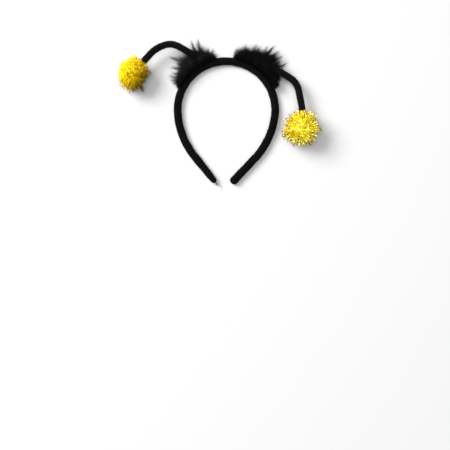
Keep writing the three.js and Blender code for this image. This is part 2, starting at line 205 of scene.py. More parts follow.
# Kinds of hair. Root and tip are how far a strand strays from its guide line there
BODY_HAIR = {"clumps": 290, "each": 21, "steps": 4, "root": 1.3, "tip": 1.2, "sway": 0.4, "radius": 0.11}
FLUFF_HAIR = {"clumps": 900, "each": 3, "steps": 5, "root": 0.8, "tip": 1.3, "sway": 1.1, "radius": 0.095}
LOCK_HAIR = {"steps": 6, "root": 1.6, "tip": 1.1, "sway": 1.1, "radius": 0.095}
STRAND = {"shortest": 0.6, "spread_power": 1.3, "sway_turn": 6.9, "dullest": 0.4}
STRAND_TAPER = table(("along", "share"), [(0.0, 1.0), (0.5, 0.8), (1.0, 0.25)])
# Clumps of fur: how far they lift off the table, how long they are, where they stand and how they bend
CLUMP_LIFT = {"lowest_deg": -12.0, "highest_deg": 76.0, "power": 1.3}
CLUMP = {"shortest": 0.95, "longest": 1.15, "foot_in": 1.6, "foot_up": 0.45, "fan": 0.2, "curl": 0.16,
         "droop": 0.2}
LOCK_SUNK = 0.5
LOCK_ARCH = 1.5
# How pale the tips are, where the fur is brown and where it is black
BROWN_BEYOND = -43.0
BODY_PALE = {"brown": 0.012, "black": 0.025}
FLUFF_PALE = {"brown": 0.05, "black": 0.025}
LOCK_PALE = {"brown": 1.0, "black": 0.06}
FUR_FLOOR = {"lowest": 0.4, "spread": 0.3}
FUR_SUNK = 0.8
FUR_CLEARANCE = 0.15
# Height above the hoop's middle, and its share where the fur reaches less far out
FUR_TALL = {"left": 13.0, "right": 15.0}
FUR_RISE = {"base": 0.25, "full_reach": 14.0, "lowest": 0.3}
# Length of the feeler that the fur hides, and how far below its middle a strand passes under it
FUR_COVERS = 18.0
FUR_UNDER = 1.0
MOUND = {"share": 0.6, "rings": 48, "sides": 20}

# Tinsel pompoms. Matted strips lie over the surface, and layers and locks of strips stand out of it.
# Lowest, highest, shortest and longest are shares of the pompom's reach
LAYER_COLUMNS = ("strips", "shortest", "longest", "wide", "bend")
TINSEL_LOCK_COLUMNS = ("angle", "rise", "reach", "strips")
POMPOM_LEFT = {
    "middle": np.array([-118.0, 38.6, 20.0]),
    "outline": table(("angle", "reach"), [
        (0, 21.5), (30, 21.2), (60, 20.8), (75, 23.2), (100, 20.2), (120, 18.6),
        (150, 17.4), (175, 16.9), (195, 18.4), (220, 20.6), (245, 22.4), (265, 23.8),
        (282, 21), (300, 21.5), (330, 18.2), (360, 21.5),
    ]),
    "tall": 20.5,
    "matted": {"strips": 620, "lowest": 0.62, "highest": 0.82, "wide": 1.0},
    "layers": records(LAYER_COLUMNS, [
        (1000, 0.66, 0.92, 0.85, 5.0),
        (980, 0.84, 1.07, 0.8, 3.0),
    ]),
    "locks": records(TINSEL_LOCK_COLUMNS, [
        (1, 5, 24.6, 16),
        (301, -5, 26.4, 14),
        (130, 10, 21.5, 8),
        (49, 22, 21.5, 40),
        (40, 18, 21.5, 16),
        (59, 18, 21.5, 16),
    ]),
    "swirl": 2.0,
    "pole": np.array([-0.34, 0.34, 0.88]),
    "combed": 0.7,
    # Painted light: strips facing this side get lighter colours, strips facing away darker ones
    "painted_lit_side": np.array([-0.9, 0.75, 0.62]),
    "painted_light_share": 0.78,
}
POMPOM_RIGHT = {
    "middle": np.array([92.7, -19.9, 22.0]),
    "outline": table(("angle", "reach"), [
        (0, 24), (20, 23.6), (45, 26.2), (65, 24.6), (85, 21), (110, 22),
        (135, 21), (160, 22.4), (180, 23), (200, 26), (230, 24.6), (255, 23),
        (285, 24.2), (330, 25.2), (360, 24),
    ]),
    "tall": 23.5,
    "matted": {"strips": 520, "lowest": 0.58, "highest": 0.74, "wide": 1.5},
    "layers": records(LAYER_COLUMNS, [
        (460, 0.62, 0.88, 1.75, 4.0),
        (440, 0.8, 1.07, 1.6, 2.2),
    ]),
    "locks": records(TINSEL_LOCK_COLUMNS, [
        (352, 5, 27.2, 5),
        (88, 24, 22.5, 14),
        (80, 18, 22, 6),
        (97, 18, 22, 6),
    ]),
    "swirl": 0.5,
    "pole": UP,
    "combed": 0.8,
    # Painted light: strips facing this way, mostly up, get lighter colours and the rim darker ones
    "painted_lit_side": np.array([0.15, -0.15, 1.3]),
    "painted_light_share": 0.6,
}
STRIP = {"thick": 0.07, "steps": 6, "root": 5.0, "scatter": 0.06, "aside": 0.6, "crinkle": 0.12,
         "wide_at_root": 0.7, "narrowest": 0.75, "widest": 1.15, "tilt": 0.35, "twist": 1.0}
# Matted strips take one tone, past the painted shade of the depth and short of the painted shade at the
# ends
MATTED = {"span": 0.42, "shortest": 0.6, "longest": 1.2, "lift": 0.05, "tone": 0.6}
TINSEL_LOCK = {"scatter": 0.05, "shortest": 0.86, "bend": 0.8}
TINSEL_FLOOR = 0.26
TINSEL_CLEARANCE = 0.3
CORE = {"share": 0.5, "rings": 26, "sides": 40, "pole": 0.12, "shade": 0.5}
CORE_LUMPS = {"height": 0.05, "waves": 6, "shortest": 0.4, "longest": 1.2}
SWIRL_AXIS = np.array([0.4, -0.3, 0.87])
GOLDEN_ANGLE = math.pi * (3.0 - math.sqrt(5.0))

# Colours, all linear. Fine relief: scale and detail of the noise, depth in metres and strength
# Velour and sleeve: the dark ground colour is painted shade under the pile, the paler tip colour a
# painted sheen
VELOUR = {"ground": (0.001, 0.001, 0.0011), "tip": (0.007, 0.007, 0.0074)}
SLEEVE = {"ground": (0.0018, 0.0018, 0.0018), "tip": (0.017, 0.017, 0.017)}
PILE_STOPS = {"ground": 0.1, "tip": 0.6}
VELOUR_SHADER = {"Roughness": 0.85, "Specular IOR Level": 0.05, "Sheen Weight": 0.035,
                 "Sheen Roughness": 0.42, "Sheen Tint": (0.55, 0.55, 0.6, 1.0)}
CRUSHED = {"scale": 110.0, "detail": 3.0}
VELOUR_GRAIN = {"scale": 2600.0, "detail": 1.0, "distance": 0.0004, "strength": 0.6}
FUR_COLOUR = {
    "left": {"root": (0.0019, 0.0019, 0.0022), "tip": (0.22, 0.16, 0.13)},
    "right": {"root": (0.0012, 0.0012, 0.0013), "tip": (0.03, 0.03, 0.032)},
}
FUR_TIP_POWER = 1.6
FUR_SHADER = {"Roughness": 0.5, "Specular IOR Level": 0.1}
# Tinsel: shades at which a strip is darkest, middling and brightest (random tone mixed with painted
# light), their colours, its painted-shade end colour and the gloss
TINSEL = {
    "left": {
        "shades": (0.05, 0.45, 0.8),
        "deep": (0.145, 0.085, 0.002),
        "middle": (0.77, 0.52, 0.005),
        "bright": (0.89, 0.73, 0.012),
        "end": (0.7, 0.6, 0.8),
        "gloss": 0.05,
    },
    "right": {
        "shades": (0.3, 0.58, 0.8),
        "deep": (0.26, 0.15, 0.004),
        "middle": (0.82, 0.6, 0.008),
        "bright": (0.98, 0.84, 0.01),
        "end": (0.55, 0.42, 0.5),
        "gloss": 0.65,
    },
}
# Places along a strip where its painted shade of the depth, in the deep colour, ends and where the
# painted shade at its end starts
FILM_STOPS = {"lit": 0.4, "cut": 0.88}
FILM_SHADER = {"Metallic": 0.45, "Roughness": 0.32, "Coat Roughness": 0.03, "Coat IOR": 2.0}
FILM_GRAIN = {"scale": 900.0, "detail": 2.0, "distance": 0.0003, "strength": 0.5}
WHITE = (1.0, 1.0, 1.0)
BLACK = (0.0, 0.0, 0.0)

# The camera looks straight down, as in the photograph, whose frame is 562.5 mm wide at mid band
CAMERA_PLACE = np.array([4.0, -143.7, 1255.0])
CAMERA_TURN = math.radians(2.28)
CAMERA_LENS = 80.0
CAMERA_CLIP_START = 0.01
# The floor and the lights, in metres and watts
FLOOR_HALF = 4.0
FLOOR_SHADER = {"Base Color": (0.48, 0.48, 0.48, 1.0), "Roughness": 0.9}
WORLD_LIGHT = {"Color": (1.0, 1.0, 1.0, 1.0), "Strength": 0.25}
LIGHTS = {
    "key": {"place": (-2.4, 1.35, 3.0), "size": 2.1, "power": 288.0},
    "front": {"place": (0.0, -0.3, 5.1), "size": 2.7, "power": 194.0},
}

SEED = {"band": 3, "stem_left": 11, "stem_right": 12, "fur_left": 21, "fur_right": 22,
        "pompom_left": 31, "pompom_right": 32}
# Most turns of a wave round a tube, steps between points of a path, points moved at a time
WAVE_TURNS = 3
PATH_STEPS = 24
MOVED_AT_ONCE = 4000
# Corners of the bars that strands and strips are drawn with
TRIANGLE = [(math.cos(a), math.sin(a)) for a in (0.0, 2.0 * math.pi / 3.0, 4.0 * math.pi / 3.0)]
FLAT = [(1.0, 1.0), (-1.0, 1.0), (-1.0, -1.0), (1.0, -1.0)]


# Where the hoop's frame sits in the part's frame

band_low, band_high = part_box("band")
HOOP_PLACE = np.array([
    (band_low.x + band_high.x) / 2.0 / MM,
    band_high.y / MM - CROWN_RADIUS - BAND_THICK / 2.0,
    band_low.z / MM,
])


# Working with points

def unit(vectors):
    """Vectors brought to length one."""
    return vectors / np.maximum(np.linalg.norm(vectors, axis=-1, keepdims=True), TINY)


def lerp(low, high, share):
    """The value a share of the way from low to high."""
    return low + (high - low) * share


def shares(steps):
    """Shares from 0 to 1 along many paths of equal steps."""
    return np.linspace(0.0, 1.0, steps)[None, :, None]


def ring_angles(sides, shift=0.0):
    """Angles round a ring, as a row."""
    return ((np.arange(sides) + shift) * 2.0 * math.pi / sides)[None, :]


def waves(rng, kind):
    """A smooth random function of two coordinates, about -1 to 1, as a sum of sine waves."""
    count = kind["waves"]
    lengths = rng.uniform(kind["shortest"], kind["longest"], count)
    turns = rng.integers(-WAVE_TURNS, WAVE_TURNS + 1, count)
    phases = rng.uniform(0.0, 2.0 * math.pi, count)

    def at(along, angle):
        total = np.zeros(np.broadcast(along, angle).shape)
        for length, turn, phase in zip(lengths, turns, phases):
            total += np.sin(2.0 * math.pi * along / length + turn * angle + phase)
        return total / math.sqrt(count)

    return at


def hoop_at(length):
    """The hoop's centre line and its outward and forward directions, at lengths from its top."""
    side = np.where(length < 0.0, -1.0, 1.0)
    to_go = np.abs(length)
    heading = np.zeros_like(to_go)
    x = np.zeros_like(to_go)
    y = np.full_like(to_go, CROWN_RADIUS)
    for radius, most in ((CROWN_RADIUS, CROWN_TURN), (EAR_RADIUS, EAR_TURN)):
        turn = np.minimum(to_go / radius, most)
        x += radius * (np.sin(heading + turn) - np.sin(heading))
        y += radius * (np.cos(heading + turn) - np.cos(heading))
        heading = heading + turn
        to_go = to_go - turn * radius
    x += to_go * np.cos(heading)
    y -= to_go * np.sin(heading)
    middle = np.full_like(to_go, BAND_WIDE / 2.0)
    point = np.stack([side * x, y, middle], -1)
    outward = np.stack([side * np.sin(heading), np.cos(heading), np.zeros_like(to_go)], -1)
    return point, outward, np.cross(outward, UP)


def crown_at(angle):
    """The hoop's centre line, outward and forward directions, at angles round the crown."""
    return hoop_at(CROWN_RADIUS * np.radians(angle))


def smooth_path(points, spacing):
    """Evenly spaced points on the centripetal curve through a few points."""
    ends = np.vstack([2.0 * points[0] - points[1], points, 2.0 * points[-1] - points[-2]])
    drawn = []
    for k in range(1, len(ends) - 2):
        level = list(ends[k - 1:k + 3])
        gaps = np.linalg.norm(np.diff(ends[k - 1:k + 3], axis=0), axis=1)
        knots = np.concatenate([[0.0], np.cumsum(np.sqrt(gaps))])
        t = np.linspace(knots[1], knots[2], PATH_STEPS, endpoint=False)[:, None]
        for span in (1, 2):
            level = [
                lerp(level[j], level[j + 1], (t - knots[j]) / (knots[j + span] - knots[j]))
                for j in range(len(level) - 1)
            ]
        drawn.append(lerp(level[0], level[1], (t - knots[1]) / (knots[2] - knots[1])))
    fine = np.vstack(drawn + [points[-1:]])
    travelled = np.concatenate([[0.0], np.cumsum(np.linalg.norm(np.diff(fine, axis=0), axis=1))])
    places = np.linspace(0.0, travelled[-1], int(travelled[-1] / spacing) + 1)
    return np.stack([np.interp(places, travelled, fine[:, axis]) for axis in range(3)], -1)


def clear_of_path(points, path, least):
    """Points pushed out sideways until they are at least so far from a path."""
    flat = points.reshape(-1, 3)
    low = path.min(0) - least
    high = path.max(0) + least
    near = np.where(np.all((flat > low) & (flat < high), axis=1))[0]
    for chunk in np.array_split(near, max(1, len(near) // MOVED_AT_ONCE)):
        offset = flat[chunk][:, None, :] - path[None, :, :]
        apart = np.linalg.norm(offset, axis=2)
        closest = apart.argmin(1)
        rows = np.arange(len(chunk))
        away = offset[rows, closest]
        push = np.maximum(least - apart[rows, closest], 0.0)
        flat[chunk] += unit(away) * push[:, None]
    return flat.reshape(points.shape)


def keep_above(paths, floor):
    """Lifts the points of paths that lie below a floor."""
    paths[..., 2] = np.maximum(paths[..., 2], floor)


# Making meshes

def shape(points, faces, tone, shade):
    """Points and faces with two values a point: how far out it is, and its strand's own shade."""
    return {"points": points, "faces": faces, "tone": tone, "shade": shade}


def skin(rings, tone=0.0, shade=0.0):
    """A closed skin over rings of points, with a pole at the middle of each end."""
    count, sides, _ = rings.shape
    poles = np.stack([rings[0].mean(0), rings[-1].mean(0)])
    index = np.arange(count * sides).reshape(count, sides)
    after = np.roll(index, -1, axis=1)
    quads = np.stack([index[:-1], after[:-1], after[1:], index[1:]], -1).reshape(-1, 4)
    first = np.stack([after[0], index[0], np.full(sides, count * sides)], -1)
    last = np.stack([index[-1], after[-1], np.full(sides, count * sides + 1)], -1)
    points = np.vstack([rings.reshape(-1, 3), poles])
    every = np.ones(len(points))
    return shape(points, [quads, first, last], every * tone, every * shade)


def sweep(paths, half_wide, half_thick, reference, twist, corners, pointed, shade):
    """Closed bars along many paths of equal steps, ending in a point or in a flat cap."""
    count, steps, _ = paths.shape
    sides = len(corners)
    tangent = unit(np.gradient(paths, axis=1))
    across = unit(np.cross(tangent, reference[:, None, :]))
    upward = np.cross(tangent, across)
    cosine = np.cos(twist)[..., None]
    sine = np.sin(twist)[..., None]
    turned = across * cosine + upward * sine
    lifted = upward * cosine - across * sine
    rings = steps - 1 if pointed else steps
    wide = (turned * half_wide[..., None])[:, :rings, None, :]
    thick = (lifted * half_thick[..., None])[:, :rings, None, :]
    corner = np.array(corners)
    points = paths[:, :rings, None, :] + wide * corner[:, 0, None] + thick * corner[:, 1, None]
    points = points.reshape(count, rings * sides, 3)
    along = np.repeat(np.arange(rings) / (steps - 1), sides)
    ring = np.arange(sides)
    after = np.roll(ring, -1)
    quads = [np.stack([ring, after, after + sides, ring + sides], -1) + k * sides
             for k in range(rings - 1)]
    faces = [ring[::-1][None, :]]
    if quads:
        faces.append(np.vstack(quads))
    top = (rings - 1) * sides
    if pointed:
        points = np.concatenate([points, paths[:, -1:, :]], axis=1)
        along = np.append(along, 1.0)
        faces.append(np.stack([ring + top, after + top, np.full(sides, rings * sides)], -1))
    else:
        faces.append(ring[None, :] + top)
    each = points.shape[1]
    starts = (np.arange(count) * each)[:, None, None]
    faces = [(group[None] + starts).reshape(-1, group.shape[1]) for group in faces]
    return shape(points.reshape(-1, 3), faces, np.tile(along, count), np.repeat(shade, each))


def strands(paths, half, reference, shade):
    """Closed pointed bars with three sides along many paths."""
    return sweep(paths, half, half, reference, np.zeros(paths.shape[:2]), TRIANGLE, True, shade)


def scatter_on(rings, count, rng):
    """Random places on a skin of rings, with the normal and the lengthwise direction there."""
    stations, sides, _ = rings.shape
    row = rng.uniform(0.0, stations - ROWS_SPARED, count)
    column = rng.uniform(0.0, sides, count)
    i = row.astype(int)
    j = column.astype(int) % sides
    k = (j + 1) % sides
    u = (row - i)[:, None]
    v = (column - np.floor(column))[:, None]
    near = lerp(rings[i, j], rings[i, k], v)
    far = lerp(rings[i + 1, j], rings[i + 1, k], v)
    along = unit(far - near)
    around = unit(lerp(rings[i, k] - rings[i, j], rings[i + 1, k] - rings[i + 1, j], u))
    return lerp(near, far, u), unit(np.cross(around, along)), along


def pile_on(rings, kind, rng):
    """Short tapered fibres standing on a skin, leaning along it."""
    count = kind["fibres"]
    foot, normal, along = scatter_on(rings, count, rng)
    stray = rng.normal(0.0, FIBRE["stray"], (count, 3))
    direction = unit(normal + kind["lean"] * along + stray)
    tall = kind["length"] * rng.uniform(FIBRE["shortest"], FIBRE["longest"], count)[:, None]
    paths = np.stack([foot - FIBRE["sunk"] * normal, foot + direction * tall], 1)
    keep_above(paths, FIBRE_FLOOR)
    half = np.full((count, 2), FIBRE["radius"])
    reference = unit(rng.normal(0.0, 1.0, (count, 3)))
    return strands(paths, half, reference, rng.uniform(FIBRE["dullest"], 1.0, count))


def add_piece(name, shapes, material, slot, *replaced):
    """One mesh piece that rides on the part's body and stands for the nodes that it replaces."""
    points = np.vstack([made["points"] for made in shapes])
    starts = np.cumsum([0] + [len(made["points"]) for made in shapes[:-1]])
    faces = [group + start for made, start in zip(shapes, starts) for group in made["faces"]]
    corners = np.concatenate([group.ravel() for group in faces]).astype(np.int32)
    counts = np.concatenate([np.full(len(group), group.shape[1]) for group in faces])
    firsts = (np.cumsum(counts) - counts).astype(np.int32)
    mesh = bpy.data.meshes.new(name)
    mesh.vertices.add(len(points))
    mesh.loops.add(len(corners))
    mesh.polygons.add(len(counts))
    placed = (points + HOOP_PLACE) * MM
    mesh.vertices.foreach_set("co", placed.astype(np.float32).ravel())
    mesh.polygons.foreach_set("loop_start", firsts)
    mesh.polygons.foreach_set("vertices", corners)
    mesh.polygons.foreach_set("use_smooth", np.ones(len(counts), bool))
    for key in ("tone", "shade"):
        values = np.concatenate([made[key] for made in shapes]).astype(np.float32)
        mesh.attributes.new(key, "FLOAT", "POINT").data.foreach_set("value", values)
    mesh.update(calc_edges=True)
    mesh.validate()
    mesh.materials.append(material)
    piece = bpy.data.objects.new(name, mesh)
    bpy.context.scene.collection.objects.link(piece)
    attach(piece, BODY)
    if replaced:
        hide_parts(*replaced)
    return piece


# Materials

def set_inputs(node, values):
    """Values set on a node's own sockets."""
    for key, value in values.items():
        node.inputs[key].default_value = value


def new_material(name):
    """An empty node material with its main shader."""
    material = bpy.data.materials.new(name)
    material.use_nodes = True
    tree = material.node_tree
    tree.nodes.clear()
    shader = tree.nodes.new("ShaderNodeBsdfPrincipled")
    output = tree.nodes.new("ShaderNodeOutputMaterial")
    tree.links.new(shader.outputs["BSDF"], output.inputs["Surface"])
    return material, tree, shader


def attribute(tree, name):
    """A value that the mesh holds at each point."""
    node = tree.nodes.new("ShaderNodeAttribute")
    node.attribute_name = name
    return node.outputs["Fac"]


def noise(tree, grain):
    """Noise in the object's own space, where a scale of 1000 is about a millimetre."""
    place = tree.nodes.new("ShaderNodeTexCoord")
    node = tree.nodes.new("ShaderNodeTexNoise")
    set_inputs(node, {"Scale": grain["scale"], "Detail": grain["detail"]})
    tree.links.new(place.outputs["Object"], node.inputs["Vector"])
    return node.outputs["Fac"]


def ramp(tree, value, stops):
    """Colours along a value from 0 to 1."""
    node = tree.nodes.new("ShaderNodeValToRGB")
    elements = node.color_ramp.elements
    while len(elements) < len(stops):
        elements.new(0.5)
    for element, (place, colour) in zip(elements, stops):
        element.position = place
        element.color = (*colour, 1.0)
    tree.links.new(value, node.inputs["Fac"])
    return node.outputs["Color"]


def math_node(tree, operation, first, second):
    """A product or power of two values, each a socket or a number."""
    node = tree.nodes.new("ShaderNodeMath")
    node.operation = operation
    for socket, value in zip(node.inputs, (first, second)):
        if isinstance(value, float):
            socket.default_value = value
        else:
            tree.links.new(value, socket)
    return node.outputs["Value"]


def blended(tree, blend, first, second):
    """Two colours blended in full."""
    node = tree.nodes.new("ShaderNodeMix")
    node.data_type = "RGBA"
    node.blend_type = blend
    node.inputs["Factor"].default_value = 1.0
    tree.links.new(first, node.inputs["A"])
    tree.links.new(second, node.inputs["B"])
    return node.outputs["Result"]


def add_grain(tree, shader, grain):
    """Fine relief that only the shading shows."""
    node = tree.nodes.new("ShaderNodeBump")
    set_inputs(node, {"Distance": grain["distance"], "Strength": grain["strength"]})
    tree.links.new(noise(tree, grain), node.inputs["Height"])
    tree.links.new(node.outputs["Normal"], shader.inputs["Normal"])


def velour_material(name, colour):
    """Matt black pile: painted shade in the ground and a painted sheen at the tips, varied by a crushed
    velour pattern.
    """
    material, tree, shader = new_material(name)
    tone = math_node(tree, "MULTIPLY", attribute(tree, "tone"), noise(tree, CRUSHED))
    pile = ramp(tree, tone, [(PILE_STOPS[key], colour[key]) for key in ("ground", "tip")])
    tree.links.new(pile, shader.inputs["Base Color"])
    set_inputs(shader, VELOUR_SHADER)
    add_grain(tree, shader, VELOUR_GRAIN)
    return material


def fur_material(name, colour):
    """Feather fur: black at the root and paler to the tip of each strand."""
    material, tree, shader = new_material(name)
    tone = math_node(tree, "POWER", attribute(tree, "tone"), FUR_TIP_POWER)
    tone = math_node(tree, "MULTIPLY", tone, attribute(tree, "shade"))
    strand = ramp(tree, tone, [(0.0, colour["root"]), (1.0, colour["tip"])])
    tree.links.new(strand, shader.inputs["Base Color"])
    set_inputs(shader, FUR_SHADER)
    return material


def tinsel_material(name, film):
    """Yellow film in each strip's shade, with painted shade in the depth and tan painted shade at the
    ends of the darker strips.
    """
    material, tree, shader = new_material(name)
    _, middling, bright = film["shades"]
    shade = attribute(tree, "shade")
    tone = attribute(tree, "tone")
    colours = (film["deep"], film["middle"], film["bright"])
    # Shade mixes random tone with painted light; the depth and the darker strips' ends get painted shade
    by_strip = ramp(tree, shade, list(zip(film["shades"], colours)))
    by_depth = ramp(tree, tone, [(0.0, film["deep"]), (FILM_STOPS["lit"], WHITE)])
    cut = ramp(tree, tone, [(FILM_STOPS["cut"], WHITE), (1.0, film["end"])])
    painted_light_level = ramp(tree, shade, [(middling, BLACK), (bright, WHITE)])
    cut = blended(tree, "LIGHTEN", cut, painted_light_level)
    colour = blended(tree, "MULTIPLY", blended(tree, "MULTIPLY", by_strip, by_depth), cut)
    tree.links.new(colour, shader.inputs["Base Color"])
    set_inputs(shader, FILM_SHADER)
    set_inputs(shader, {"Specular IOR Level": film["gloss"] / 2.0, "Coat Weight": film["gloss"]})
    add_grain(tree, shader, FILM_GRAIN)
    return material


# The padded hoop

def simulated(rings):
    """How far each point moves when the cover, taken at every second point, swells on the foam."""
    scene = bpy.context.scene
    made = skin(rings)
    start = made["points"] * CLOTH_SCALE
    faces = [face.tolist() for group in made["faces"] for face in group]
    mesh = bpy.data.meshes.new("cover_cloth")
    mesh.from_pydata(start.tolist(), [], faces)
    cover = bpy.data.objects.new("cover_cloth", mesh)
    scene.collection.objects.link(cover)
    stations, sides, _ = rings.shape
    index = np.arange(stations * sides).reshape(stations, sides)
    angle = ring_angles(sides, RING_SHIFT / 2.0)[0]
    seam = index[:, np.abs(angle - SEAM["angle"]).argmin()]
    ends = np.append(index[[0, 1, -2, -1]], [stations * sides, stations * sides + 1])
    outside = index[:, np.cos(angle) > CLOTH_OUTSIDE_ABOVE]
    held = cover.vertex_groups.new(name="held")
    held.add(range(len(start)), FOAM_HOLD, "REPLACE")
    held.add(np.append(seam, ends).tolist(), 1.0, "REPLACE")
    taut = cover.vertex_groups.new(name="taut")
    taut.add(outside.ravel().tolist(), 1.0, "REPLACE")
    cloth = cover.modifiers.new("cloth", "CLOTH")
    cloth.point_cache.frame_end = CLOTH_FRAMES
    settings = cloth.settings
    settings.quality = CLOTH_QUALITY
    settings.use_pressure = True
    settings.uniform_pressure_force = CLOTH_PRESSURE
    settings.effector_weights.gravity = 0.0
    settings.vertex_group_mass = held.name
    settings.vertex_group_shrink = taut.name
    settings.shrink_min = -CLOTH_SLACK["inside"]
    settings.shrink_max = -CLOTH_SLACK["outside"]
    settings.tension_stiffness = CLOTH_STIFFNESS
    settings.compression_stiffness = CLOTH_STIFFNESS
    for step in range(1, CLOTH_FRAMES + 1):
        scene.frame_set(step)
    swollen = cover.evaluated_get(bpy.context.evaluated_depsgraph_get()).data
    places = np.empty(start.size, np.float32)
    swollen.vertices.foreach_get("co", places)
    bpy.data.objects.remove(cover)
    bpy.data.meshes.remove(mesh)
    scene.frame_set(1)
    moved = (places.reshape(-1, 3) - start)[:stations * sides] / CLOTH_SCALE
    distance = np.linalg.norm(moved, axis=1, keepdims=True)
    moved = moved * np.minimum(1.0, CLOTH_REACH / np.maximum(distance, TINY))
    return moved.reshape(rings.shape)


def doubled(coarse):
    """Values on a grid twice as fine, along it and round it."""
    rows = np.repeat(coarse, 2, axis=0)[:-1]
    rows[1::2] = (coarse[:-1] + coarse[1:]) / 2.0
    both = np.repeat(rows, 2, axis=1)
    both[:, 1::2] = (rows + np.roll(rows, -1, axis=1)) / 2.0
    return both


def band_swell(rng, along, angle, to_tip, half_wide):
    """How far the cover stands out for its soft lumps, creases, seam and gathered tips."""
    inner = np.clip(-np.cos(angle) * CREASED_SIDE["gain"] - CREASED_SIDE["start"], 0.0, 1.0)
    lumps = PAD_LUMPS["height"] * waves(rng, PAD_LUMPS)(along, angle)
    crease = np.clip(waves(rng, CREASES)(along, np.zeros_like(angle)), 0.0, None) ** 2
    swell = lumps - CREASES["depth"] * inner * crease
    from_seam = (angle - SEAM["angle"]) * half_wide
    swell = swell - SEAM["depth"] * np.exp(-(from_seam / SEAM["wide"]) ** 2)
    from_lip = from_seam - SEAM_LIP["from_seam"]
    swell = swell + SEAM_LIP["height"] * np.exp(-(from_lip / SEAM_LIP["wide"]) ** 2)
    gather = np.clip(1.0 - to_tip / GATHERS["length"], 0.0, 1.0)
    folds = np.abs(np.sin(GATHERS["folds"] * angle + GATHERS["turn"]))
    return swell - GATHERS["depth"] * gather * folds


def band_rings(rng):
    """Rings of points of the padded cover, swollen by the cloth simulation."""
    plain = HALF_HOOP - TIP_ROUND
    body = np.linspace(-plain, plain, 2 * int(plain / BAND_STEP) + 1)
    turn = np.radians(np.linspace(TIP_RINGS["first_deg"], TIP_RINGS["last_deg"], TIP_RINGS["count"]))
    tip = plain + TIP_ROUND * np.sin(turn)
    length = np.concatenate([-tip[::-1], body, tip])
    close = np.concatenate([np.cos(turn)[::-1], np.ones(len(body)), np.cos(turn)])[:, None]
    point, outward, _ = hoop_at(length)
    to_tip = (HALF_HOOP - np.abs(length))[:, None]
    taper = np.clip(1.0 - to_tip / TIP_TAPER_LENGTH, 0.0, 1.0)
    tip_scale = np.where(length < 0.0, TIP_SCALE["left"], TIP_SCALE["right"])[:, None]
    half_thick = (BAND_THICK / 2.0 - NAP_INSET) * (1.0 + (tip_scale - 1.0) * taper) - CLOTH_START["thick"]
    half_wide = BAND_WIDE / 2.0 - NAP_INSET - CLOTH_START["wide"]
    angle = ring_angles(BAND_SIDES, RING_SHIFT)
    cosine = np.cos(angle)
    sine = np.sin(angle)
    full_cosine = np.sign(cosine) * np.abs(cosine) ** (2.0 / BAND_FULLNESS)
    full_sine = np.sign(sine) * np.abs(sine) ** (2.0 / BAND_FULLNESS)
    swell = band_swell(rng, length[:, None], angle, to_tip, half_wide)

    def placed(across, height):
        side = outward[:, None, :] * (across * close)[..., None]
        return point[:, None, :] + side + UP * (height * close)[..., None]

    bare = placed(half_thick * full_cosine, half_wide * full_sine)
    rings = bare + doubled(simulated(bare[::2, ::2]))
    rings = rings + placed(swell * cosine, swell * sine) - point[:, None, :]
    keep_above(rings, BAND_FLOOR)
    return rings


def loose_thread(rng):
    """A few ends of thread that trail from the left tip."""
    count = len(THREAD_ENDS)
    t = shares(THREAD["steps"])
    paths = lerp(THREAD_ROOT, THREAD_ENDS[:, None, :], t)
    bow = rng.normal(0.0, THREAD["bow"], (count, 1, 3)) * np.array([1.0, 1.0, THREAD["bow_up"]])
    paths = paths + bow * np.sin(math.pi * t)
    keep_above(paths, THREAD["radius"])
    half = np.full(paths.shape[:2], THREAD["radius"])
    return strands(paths, half, np.tile(UP, (count, 1)), np.full(count, THREAD["shade"]))


def make_band(material):
    """The padded cover, the nap on it and a loose thread at its left tip."""
    rng = np.random.default_rng(SEED["band"])
    rings = band_rings(rng)
    cover = skin(rings, tone=SKIN_TONE["band"])
    piece = add_piece("band_cover", [cover], material, "black_velour", "band")
    nap = pile_on(rings, NAP, rng)
    add_piece("band_nap", [nap, loose_thread(rng)], material, "black_velour")


# The feelers

def stem_path(points):
    """The feeler's centre line, from just under the hoop's outer face to its end in the pompom."""
    path = smooth_path(points, STEM_STEP)
    from_middle = np.linalg.norm(path[:, :2], axis=1)
    first = np.argmax(from_middle > CROWN_RADIUS + STEM_FOOT)
    return path[first:]


def make_stem(side, path, material):
    """A velour sleeve: a lumpy tube with short pile all over it."""
    rng = np.random.default_rng(SEED["stem_" + side])
    tangent = unit(np.gradient(path, axis=0))
    upward = unit(UP - tangent * tangent[:, 2:])
    across = np.cross(upward, tangent)
    angle = ring_angles(STEM_SIDES)
    travelled = (np.arange(len(path)) * STEM_STEP)[:, None]
    lumps = STEM_LUMPS["height"] * waves(rng, STEM_LUMPS)(travelled, angle)
    ridge = np.sin(2.0 * math.pi * travelled / STEM_RIDGE["pitch"] + angle)
    radius = STEM_RADIUS - PILE_INSET + lumps + STEM_RIDGE["height"] * ridge
    rings = path[:, None, :] + across[:, None, :] * (radius * np.cos(angle))[..., None]
    rings = rings + upward[:, None, :] * (radius * np.sin(angle))[..., None]
    sleeve = skin(rings, tone=SKIN_TONE["stem"])
    add_piece("sleeve_" + side, [sleeve], material, "black_sleeve", "stem_" + side)
    pile = pile_on(rings, SLEEVE_PILE, rng)
    add_piece("sleeve_pile_" + side, [pile], material, "black_sleeve")


# The fur tufts

def fur_height(reach, tall):
    """How high above the hoop's middle the fur stands where it reaches so far out."""
    return tall * np.clip(FUR_RISE["base"] + reach / FUR_RISE["full_reach"], FUR_RISE["lowest"], 1.0)


